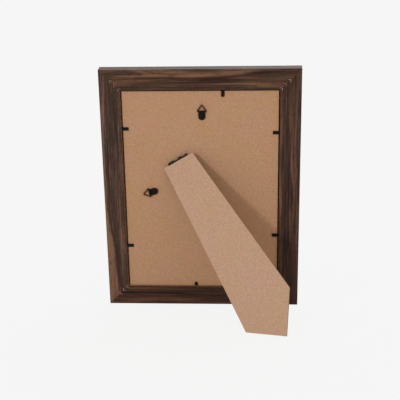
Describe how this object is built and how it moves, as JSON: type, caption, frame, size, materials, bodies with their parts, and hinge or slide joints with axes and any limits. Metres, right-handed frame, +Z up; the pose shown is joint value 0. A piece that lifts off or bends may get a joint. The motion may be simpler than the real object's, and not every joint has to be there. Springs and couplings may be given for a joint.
{
  "type": "easel back photo frame",
  "caption": "Dark wood-grain picture frame seen with its fibreboard back, bendable points, hanger rings and a hinged easel strut for standing upright or sideways.",
  "frame": {"origin": "on the table under the middle of the standing frame's bounding box", "axes": "+Z up, +X to the right seen from behind, +Y towards the picture side; the frame leans back towards -Y"},
  "size_m": [0.1994, 0.1196, 0.2489],
  "materials": {
    "moulding": "dark walnut grain, satin wrap over fibreboard",
    "fibreboard": "bare brown medium-density fibreboard, matte with fine fibre flecks",
    "glazing": "clear polished picture glass",
    "paper": "plain off-white insert card",
    "black_steel": "black oxide over pressed steel sheet, semi-gloss",
    "bronze_wire": "dark antique bronze wire",
    "bright_steel": "bare steel strip"
  },
  "bodies": {
    "frame": {"rail_top": "moulding", "rail_bottom": "moulding", "rail_left": "moulding", "rail_right": "moulding", "corner_v_nails": "bright_steel", "point_shanks": "black_steel", "glazing": "glazing", "photo_insert": "paper", "backing_board": "fibreboard", "hinge_board_leaf": "black_steel", "hinge_board_rivets": "black_steel", "hinge_pin": "black_steel", "hanger_top_strap": "black_steel", "hanger_side_strap": "black_steel", "hanger_rivets": "black_steel"},
    "strut": {"strut_board": "fibreboard", "hinge_strut_leaf": "black_steel", "hinge_strut_tacks": "black_steel"},
    "top_ring": {"hanger_top_ring": "bronze_wire"},
    "side_ring": {"hanger_side_ring": "bronze_wire"},
    "left_upper_point": {"point_left_upper": "black_steel"},
    "left_lower_point": {"point_left_lower": "black_steel"},
    "right_upper_point": {"point_right_upper": "black_steel"},
    "right_lower_point": {"point_right_lower": "black_steel"},
    "top_point": {"point_top": "black_steel"},
    "bottom_point": {"point_bottom": "black_steel"}
  },
  "joints": [
    {"name": "strut_fold", "type": "hinge", "parent": "frame", "child": "strut", "pos_m": [-0.0232, 0.02182, 0.15655], "axis": [0.866, -0.0748, 0.4944], "range_deg": [0, 29.5]},
    {"name": "top_ring_swing", "type": "hinge", "parent": "frame", "child": "top_ring", "pos_m": [0.0016, 0.01519, 0.20455], "axis": [1, 0, 0], "range_deg": [0, 160]},
    {"name": "side_ring_swing", "type": "hinge", "parent": "frame", "child": "side_ring", "pos_m": [-0.0524, 0.02765, 0.12219], "axis": [-0.2622, -0.1443, 0.9542], "range_deg": [0, 160]},
    {"name": "left_upper_point_bend", "type": "hinge", "parent": "frame", "child": "left_upper_point", "pos_m": [-0.0778, 0.01856, 0.18782], "axis": [0, 0.1495, -0.9888], "range_deg": [0, 90]},
    {"name": "left_lower_point_bend", "type": "hinge", "parent": "frame", "child": "left_lower_point", "pos_m": [-0.0778, 0.03713, 0.06501], "axis": [0, 0.1495, -0.9888], "range_deg": [0, 90]},
    {"name": "right_upper_point_bend", "type": "hinge", "parent": "frame", "child": "right_upper_point", "pos_m": [0.0778, 0.0192, 0.18356], "axis": [0, -0.1495, 0.9888], "range_deg": [0, 90]},
    {"name": "right_lower_point_bend", "type": "hinge", "parent": "frame", "child": "right_lower_point", "pos_m": [0.0778, 0.03535, 0.07678], "axis": [0, -0.1495, 0.9888], "range_deg": [0, 90]},
    {"name": "top_point_bend", "type": "hinge", "parent": "frame", "child": "top_point", "pos_m": [0.02245, 0.01288, 0.22539], "axis": [-1, 0, 0], "range_deg": [0, 90]},
    {"name": "bottom_point_bend", "type": "hinge", "parent": "frame", "child": "bottom_point", "pos_m": [-0.0071, 0.04374, 0.02131], "axis": [1, 0, 0], "range_deg": [0, 90]}
  ]
}
